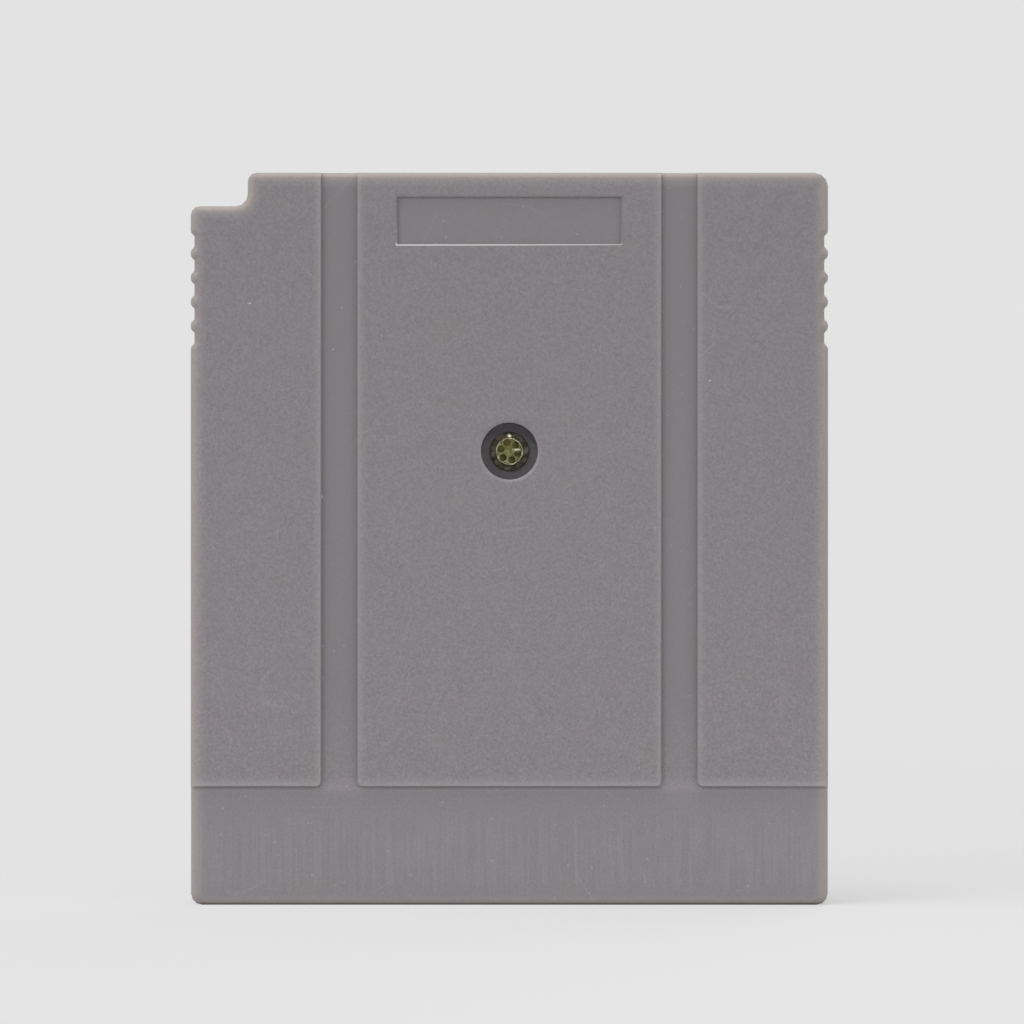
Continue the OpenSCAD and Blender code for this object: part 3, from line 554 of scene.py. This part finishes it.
# colour, darker colour, roughness, and how the brushing is drawn out along X, Y and Z
sheetMetals = {
    "goldPlate": ((0.86, 0.62, 0.24, 1), (0.66, 0.43, 0.14, 1), 0.24, (1, 1, 0.08)),
    "tinPlate": ((0.74, 0.74, 0.72, 1), (0.50, 0.50, 0.49, 1), 0.3, (1, 1, 1)),
    "nickelStrip": ((0.66, 0.64, 0.60, 1), (0.46, 0.44, 0.41, 1), 0.32, (1, 1, 0.1)),
    "cellSteel": ((0.70, 0.70, 0.69, 1), (0.52, 0.52, 0.51, 1), 0.3, (0.1, 1, 1)),
}


def makeSheetMetal(name):
    # rolled, brushed or plated metal
    bright, dark, roughness, brushing = sheetMetals[name]
    material, tree, shader = newMaterial(name, Metallic=1.0)
    brush = noise(tree, vectorCalc(tree, "MULTIPLY", objectPlace(tree), brushing), 5200.0, 3.0)
    stain = noise(tree, objectPlace(tree), 420.0, 3.0)
    colour = blend(tree, fade(tree, stain, 0.4, 0.75), bright, dark)
    colour = blend(tree, fade(tree, brush, 0.3, 0.8, 0.0, 0.35), colour, dark)
    colour = coat(tree, colour, scratches(tree, spacing=6.0, width=0.03, amount=0.4), (grey(0.9), 0.3))
    rough = fade(tree, brush, 0.3, 0.7, roughness - 0.06, roughness + 0.08)
    connect(tree, shader, colour, rough, brush, 0.003)
    return material


# Board and packages

boardLook = {
    "mask": (0.035, 0.16, 0.085, 1),
    "trace": (0.055, 0.25, 0.12, 1),
    "core": (0.36, 0.33, 0.17, 1),
    "coreDark": (0.29, 0.26, 0.13, 1),
    "dust": ((0.4, 0.42, 0.38, 1), 0.5),
    "pitch": 1.27,
    "block": (4, 6),                # pitches in X and Z over which the conductors run one way
    "lineWide": (0.17, 0.2),        # half a conductor, as a share of the pitch
    "runUp": 0.45,
    "filled": 0.86,
    "traceDepth": 0.03,
    "weaveScale": 900.0,
}


def makeBoard():
    look = boardLook
    material, tree, shader = newMaterial("greenBoard", Coat_Weight=0.4, Coat_Roughness=0.12)
    place = objectPlace(tree)
    parts = axes(tree)
    step = look["pitch"] * mm
    block = (step * look["block"][0], 1.0, step * look["block"][1])
    blocks = vectorCalc(tree, "SNAP", place, block)
    random = put(tree, "TexWhiteNoise", {"Vector": blocks}, noise_dimensions="3D").outputs["Value"]
    inner, outer = look["lineWide"]
    runs = []
    for axis in ("X", "Z"):
        line = calc(tree, "PINGPONG", parts[axis], step / 2)
        runs.append(fade(tree, line, step * inner, step * outer, 1.0, 0.0))
    upward = calc(tree, "GREATER_THAN", random, look["runUp"])
    filled = calc(tree, "LESS_THAN", random, look["filled"])
    trace = calc(tree, "ADD", product(tree, runs[0], upward),
                 product(tree, runs[1], calc(tree, "SUBTRACT", 1.0, upward)))
    trace = calc(tree, "MULTIPLY", trace, filled, clamp=True)
    weave = put(tree, "TexWave", {"Vector": place, "Scale": look["weaveScale"], "Distortion": 1.5},
                bands_direction="DIAGONAL")
    core = blend(tree, weave.outputs["Fac"], look["core"], look["coreDark"])
    colour = blend(tree, trace, look["mask"], look["trace"])
    colour = coat(tree, colour, dust(tree, spacing=2.0, size=0.06, amount=0.2), look["dust"])
    colour = blend(tree, turned(tree, 0.4, 0.6), colour, core)
    grain = useGroup(tree, fineGrain, Size=0.3, Roundness=0.4)
    rough = fade(tree, grain["Tone"], 0.3, 0.7, 0.3, 0.42)
    height = calc(tree, "ADD", trace, product(tree, grain["Height"], 0.15))
    connect(tree, shader, colour, rough, height, look["traceDepth"])
    return material


packageLook = {
    "dark": (0.014, 0.014, 0.015, 1),
    "pale": (0.035, 0.035, 0.037, 1),
    "sides": ((0.06, 0.06, 0.062, 1), 0.4),
    "dust": (grey(0.3), 0.5),
}


def makePackage():
    look = packageLook
    material, tree, shader = newMaterial("blackPackage")
    grain = useGroup(tree, fineGrain, Size=0.11, Roundness=0.7)
    colour = blend(tree, fade(tree, grain["Tone"], 0.35, 0.65), look["dark"], look["pale"])
    colour = coat(tree, colour, turned(tree, 0.5, 1.0), look["sides"])
    colour = coat(tree, colour, dust(tree, spacing=1.8, size=0.05, amount=0.25), look["dust"])
    connect(tree, shader, colour, fade(tree, grain["Tone"], 0.3, 0.7, 0.5, 0.68), grain["Height"], 0.008)
    return material


# colour, second colour, roughness
ceramics = {
    "tanCeramic": ((0.42, 0.29, 0.18, 1), (0.33, 0.22, 0.13, 1), 0.3),
    "blackGlaze": ((0.016, 0.016, 0.018, 1), (0.03, 0.03, 0.03, 1), 0.2),
}


def makeCeramic(name):
    first, second, roughness = ceramics[name]
    material, tree, shader = newMaterial(name, Specular_IOR_Level=0.6)
    grain = useGroup(tree, fineGrain, Size=0.09, Roundness=0.5)
    colour = blend(tree, fade(tree, grain["Tone"], 0.35, 0.65), first, second)
    rough = fade(tree, grain["Tone"], 0.3, 0.7, roughness, roughness + 0.12)
    connect(tree, shader, colour, rough, grain["Height"], 0.003)
    return material


yellowPlating = makeScrewMetal()
finishes = {
    "shell_plastic": makeShellPlastic(),
    "screw_metal": yellowPlating,
    "board_laminate": makeBoard(),
    "gold_contact": makeSheetMetal("goldPlate"),
    "chip_package": makePackage(),
    "tinned_metal": makeSheetMetal("tinPlate"),
    "cell_steel": makeSheetMetal("cellSteel"),
    "tab_metal": makeSheetMetal("nickelStrip"),
    "capacitor_ceramic": makeCeramic("tanCeramic"),
    "resistor_body": makeCeramic("blackGlaze"),
}
for subpart in frame["record"]["subparts"]:
    mesh = nodes[subpart["node"]].data
    if not mesh.materials:
        mesh.materials.append(None)
    for i in range(len(mesh.materials)):
        mesh.materials[i] = finishes[subpart["material_slot"]]
print("materials:", len(finishes))


# Shells: the same forms, merged and shaded smooth across their rounded edges

def only(piece):
    bpy.ops.object.select_all(action="DESELECT")
    piece.select_set(True)
    bpy.context.view_layer.objects.active = piece


def roundMouths(piece):
    # the sharp edges where the badge recess and the screw well open in the rear face
    shape = shellShape
    sharp = piece.data.attributes["sharp_edge"].data
    weights = piece.data.attributes.new("bevel_weight_edge", "FLOAT", "EDGE").data
    for edge in piece.data.edges:
        ends = [piece.data.vertices[i].co for i in edge.vertices]
        inside = all(abs(end.x) < shape["mouthReach"] * mm and end.z > shape["mouthAbove"] * mm for end in ends)
        onFace = all(abs(end.y - rearFace) < 0.001 * mm for end in ends)
        weights[edge.index].value = float(inside and onFace and sharp[edge.index].value)
    modifier = piece.modifiers.new("mouths", "BEVEL")
    modifier.limit_method = "WEIGHT"
    modifier.width = shape["mouthEdge"] * mm
    modifier.segments = shape["mouthSteps"]
    bpy.ops.object.modifier_apply(modifier=modifier.name)


def smoothShell(name, node):
    shape = shellShape
    piece = bpy.data.objects.new(name, nodes[node].data.copy())
    bpy.context.collection.objects.link(piece)
    only(piece)
    bpy.ops.mesh.customdata_custom_splitnormals_clear()
    bpy.ops.object.mode_set(mode="EDIT")
    bpy.ops.mesh.select_all(action="SELECT")
    bpy.ops.mesh.remove_doubles(threshold=shape["mergeWithin"] * mm)
    bpy.ops.mesh.dissolve_limited(angle_limit=math.radians(shape["flatWithin"]))
    bpy.ops.object.mode_set(mode="OBJECT")
    bpy.ops.object.shade_smooth_by_angle(angle=math.radians(shape["smoothAngle"]))
    if node == "rear_shell":
        roundMouths(piece)
        bpy.ops.object.shade_smooth_by_angle(angle=math.radians(shape["smoothAngle"]))
    modifier = piece.modifiers.new("faceNormals", "WEIGHTED_NORMAL")
    modifier.keep_sharp = True
    modifier.weight = 100
    bpy.ops.object.modifier_apply(modifier=modifier.name)
    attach(piece, "root")
    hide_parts(node)
    return piece


rearShell = smoothShell("rearShell", "rear_shell")
frontShell = smoothShell("frontShell", "front_shell")
print("shells:", len(rearShell.data.polygons) + len(frontShell.data.polygons), "faces")


# Screw: built upright in millimetres, then turned, made small and put in its place

screwShape = {
    "seat": 3.2,
    "sides": 72,
    "flangeRadius": 1.75,
    "flangeThick": 0.45,
    "flangeSlope": 0.45,
    "flangeDrop": 0.06,
    "flangeEdge": 0.1,
    "crownRadius": 1.12,
    "crownHigh": 0.65,
    "crownFrom": 0.2,
    "ringRadius": 1.26,
    "ringHigh": 0.56,
    "ringFrom": 0.1,
    "edge": 0.05,
    "pockets": 6,
    "pocketRadius": 0.33,
    "pocketOut": 0.80,
    "pocketFloor": 0.02,
    "pocketSides": 32,
    "pocketMouth": 0.1,
    "firstPocket": 45,
    "threadRadius": 0.995,
    "threadTop": 0.38,
    "threadSides": 48,
    "coreRadius": 0.76,
    "ridgeFoot": 0.05,              # how far the ridge reaches into the core
    "shankLong": 3.1,
    "pitch": 0.62,
    "turns": 4,
    "pointLong": 0.3,
    "mergeWithin": 0.002,
    "smoothAngle": 35,
}


def roundBar(name, radius, low, high, sides, x=0, y=0):
    # a closed bar along Z from low to high
    bpy.ops.mesh.primitive_cylinder_add(vertices=sides, radius=radius, depth=high - low,
                                        location=(x, y, (low + high) / 2))
    bar = bpy.context.object
    bar.name = name
    bpy.ops.object.transform_apply(location=True, rotation=True, scale=True)
    return bar


def combine(piece, other, operation):
    only(piece)
    modifier = piece.modifiers.new("cut", "BOOLEAN")
    modifier.operation = operation
    modifier.solver = "EXACT"
    modifier.object = other
    bpy.ops.object.modifier_apply(modifier=modifier.name)
    bpy.data.objects.remove(other)


def roundEdges(piece, width, segments):
    only(piece)
    modifier = piece.modifiers.new("edges", "BEVEL")
    modifier.width = width
    modifier.segments = segments
    modifier.limit_method = "ANGLE"
    modifier.angle_limit = math.radians(screwShape["smoothAngle"])
    bpy.ops.object.modifier_apply(modifier=modifier.name)


def makeThread(shape):
    # a plain core, and a three-sided ridge wound round it
    long, sides = shape["shankLong"], shape["threadSides"]
    outer, core = shape["threadRadius"], shape["coreRadius"]
    bar = roundBar("thread", core, -long, shape["threadTop"], sides)
    roundEdges(bar, shape["pointLong"], 2)
    size = (outer - core + shape["ridgeFoot"]) / 1.5    # the triangle is 1.5 of its radius high
    bpy.ops.mesh.primitive_circle_add(vertices=3, radius=size,
                                      location=(outer - size, 0, shape["pointLong"] - long),
                                      rotation=(-math.pi / 2, -math.pi / 2, 0))
    ridge = bpy.context.object
    bpy.ops.object.transform_apply(location=True, rotation=True, scale=True)
    modifier = ridge.modifiers.new("wind", "SCREW")
    modifier.screw_offset = shape["pitch"]
    modifier.iterations = shape["turns"]
    modifier.steps = modifier.render_steps = sides
    bpy.ops.object.modifier_apply(modifier=modifier.name)
    bpy.ops.object.mode_set(mode="EDIT")
    bpy.ops.mesh.select_all(action="SELECT")
    bpy.ops.mesh.fill_holes(sides=3)
    bpy.ops.mesh.select_all(action="SELECT")
    bpy.ops.mesh.normals_make_consistent(inside=False)
    bpy.ops.object.mode_set(mode="OBJECT")
    combine(bar, ridge, "UNION")
    return bar


def slopeTop(piece, top, inset, rise):
    # the upper end drawn in and up, as a shallow cone
    for face in piece.data.polygons:
        face.select = face.center.z > top - 0.001
    for vertex in piece.data.vertices:
        vertex.select = False
    bpy.ops.object.mode_set(mode="EDIT")
    bpy.ops.mesh.select_mode(type="FACE")
    bpy.ops.mesh.inset(thickness=inset, depth=rise)
    bpy.ops.mesh.select_mode(type="VERT")
    bpy.ops.object.mode_set(mode="OBJECT")


def cutPocket(crown, shape, angle, floor, top):
    # a round pocket, and the cone of its worn mouth
    x, y = shape["pocketOut"] * math.cos(angle), shape["pocketOut"] * math.sin(angle)
    radius, sides, mouth = shape["pocketRadius"], shape["pocketSides"], shape["pocketMouth"]
    combine(crown, roundBar("pocket", radius, floor, top + 0.3, sides, x, y), "DIFFERENCE")
    brim = top - shape["edge"] / 2
    cone = roundBar("mouth", radius, top - shape["edge"], brim, sides, x, y)
    slopeTop(cone, brim, -mouth, mouth)
    combine(crown, cone, "DIFFERENCE")


def makeScrew():
    shape = screwShape
    thick, sides = shape["flangeThick"], shape["sides"]
    top = thick + shape["crownHigh"]
    crown = roundBar("crown", shape["crownRadius"], shape["crownFrom"], top, sides)
    roundEdges(crown, shape["edge"], 3)
    ring = roundBar("ring", shape["ringRadius"], shape["ringFrom"], thick + shape["ringHigh"], sides)
    roundEdges(ring, shape["edge"], 3)
    combine(crown, ring, "UNION")
    for i in range(shape["pockets"]):
        angle = math.radians(shape["firstPocket"] + 360 * i / shape["pockets"])
        cutPocket(crown, shape, angle, thick + shape["pocketFloor"], top)
    brim = thick - shape["flangeDrop"]
    flange = roundBar("securityScrew", shape["flangeRadius"], 0, brim, sides)
    roundEdges(flange, shape["flangeEdge"], 4)
    slopeTop(flange, brim, shape["flangeSlope"], shape["flangeDrop"])
    combine(flange, crown, "UNION")
    combine(flange, makeThread(shape), "UNION")
    only(flange)
    bpy.ops.object.mode_set(mode="EDIT")
    bpy.ops.mesh.select_all(action="SELECT")
    bpy.ops.mesh.remove_doubles(threshold=shape["mergeWithin"])
    bpy.ops.object.mode_set(mode="OBJECT")
    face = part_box("rear_shell")[0].y
    head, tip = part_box("security_screw")
    flange.rotation_euler = (math.pi / 2, 0, 0)
    flange.scale = (mm, mm, mm)
    flange.location = (0, face + shape["seat"] * mm, (head.z + tip.z) / 2)
    bpy.ops.object.transform_apply(location=True, rotation=True, scale=True)
    bpy.ops.object.shade_smooth_by_angle(angle=math.radians(shape["smoothAngle"]))
    flange.data.materials.clear()
    flange.data.materials.append(yellowPlating)
    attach(flange, "root")
    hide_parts("security_screw")
    return flange


screw = makeScrew()
print("screw:", len(screw.data.polygons), "faces")


# Camera, floor and light

view = {"lens": 200, "sensor": 36, "frame": 1024, "pixelsPerMm": 11.193, "middleX": 509.4, "baseY": 905.5}
stage = {
    "wide": 12,
    "pale": 0.768,
    "floor": 0.69,
    "shadowShare": 0.42,
    "shadowReach": (0.05, 0.35),
    "lighterSide": (-0.035, 0.025, 0.3),    # from and to along X, and the share of shadow left there
}
room = {"level": 0.45, "tint": (0.985, 0.99, 1.0, 1)}
lampAim = (0, 0, 0.033)
lamps = {
    "key": {"at": (-0.45, -0.50, 0.40), "wide": 0.45, "high": 0.40, "power": 2.3, "tint": (1.0, 0.99, 0.98)},
    "fill": {"at": (0.54, -0.44, 0.26), "wide": 0.40, "high": 0.36, "power": 1.08, "tint": (1.0, 0.99, 0.99)},
    "low": {"at": (0.05, -0.60, 0.05), "wide": 0.50, "high": 0.08, "power": 0.3, "tint": (1.0, 0.99, 0.98)},
    "top": {"at": (-0.08, -0.12, 0.60), "wide": 0.40, "high": 0.20, "power": 1.5, "tint": (1.0, 0.99, 0.99)},
    "back": {"at": (0.30, 0.60, 0.35), "wide": 0.50, "high": 0.40, "power": 1.3, "tint": (1.0, 0.99, 0.98)},
    "spark": {"at": (0.0, -0.62, 0.19), "wide": 0.05, "high": 0.05, "power": 0.32, "tint": (1.0, 0.99, 0.96)},
}


def makeCamera():
    # square on to the rear face, so that it covers the same pixels as in the photograph
    halfFrame = view["frame"] / 2
    distance = view["frame"] / view["pixelsPerMm"] * mm * view["lens"] / view["sensor"]
    x = (halfFrame - view["middleX"]) / view["pixelsPerMm"] * mm
    z = (view["baseY"] - halfFrame) / view["pixelsPerMm"] * mm
    bpy.ops.object.camera_add(location=(x, rearFace - distance, z), rotation=(math.pi / 2, 0, 0))
    camera = bpy.context.object
    camera.data.lens = view["lens"]
    camera.data.sensor_width = view["sensor"]
    camera.data.clip_start = 0.01
    bpy.context.scene.camera = camera


def seenPlainly(tree):
    # 1 for the camera and for what metal or glass shows of the room
    path = put(tree, "LightPath").outputs
    both = calc(tree, "MAXIMUM", path["Is Camera Ray"], path["Is Glossy Ray"])
    return calc(tree, "MAXIMUM", both, path["Is Transmission Ray"])


def makeFloor():
    # a plain pale floor that keeps a soft share of the object's shadow
    bpy.ops.mesh.primitive_plane_add(size=stage["wide"], location=(0, 0, 0))
    floor = bpy.context.object
    floor.name = "floor"
    material, tree, shader = newMaterial("paleFloor", Base_Color=grey(stage["floor"]), Roughness=0.9,
                                         Specular_IOR_Level=0.1)
    plain = put(tree, "Emission", {"Color": grey(stage["pale"]), "Strength": 1.0})
    away = vectorCalc(tree, "LENGTH", objectPlace(tree))
    keep = fade(tree, away, *stage["shadowReach"], stage["shadowShare"], 0.0)
    left, right, share = stage["lighterSide"]
    keep = product(tree, keep, fade(tree, axes(tree)["X"], left, right, share, 1.0))
    mixed = put(tree, "MixShader", {0: keep, 1: plain.outputs[0], 2: shader.outputs[0]})
    last = put(tree, "MixShader", {0: seenPlainly(tree), 1: shader.outputs[0], 2: mixed.outputs[0]})
    tree.links.new(last.outputs[0], tree.nodes["Material Output"].inputs["Surface"])
    floor.data.materials.append(material)


def makeWorld():
    world = bpy.data.worlds.new("paleRoom")
    bpy.context.scene.world = world
    world.use_nodes = True
    tree = world.node_tree
    tree.nodes.clear()
    light = put(tree, "Background", {"Color": room["tint"], "Strength": room["level"]})
    seen = put(tree, "Background", {"Color": grey(stage["pale"]), "Strength": 1.0})
    mixed = put(tree, "MixShader", {0: seenPlainly(tree), 1: light.outputs[0], 2: seen.outputs[0]})
    out = put(tree, "OutputWorld")
    tree.links.new(mixed.outputs[0], out.inputs["Surface"])


def makeLamps():
    for name, lamp in lamps.items():
        turn = (Vector(lampAim) - Vector(lamp["at"])).to_track_quat("-Z", "Y").to_euler()
        bpy.ops.object.light_add(type="AREA", location=lamp["at"], rotation=turn)
        light = bpy.context.object
        light.name = name + "Lamp"
        light.data.shape = "RECTANGLE"
        light.data.size = lamp["wide"]
        light.data.size_y = lamp["high"]
        light.data.energy = lamp["power"]
        light.data.color = lamp["tint"]


makeCamera()
makeFloor()
makeWorld()
makeLamps()
bpy.context.scene.view_settings.view_transform = "Standard"
print("camera, floor, world and lamps ready")
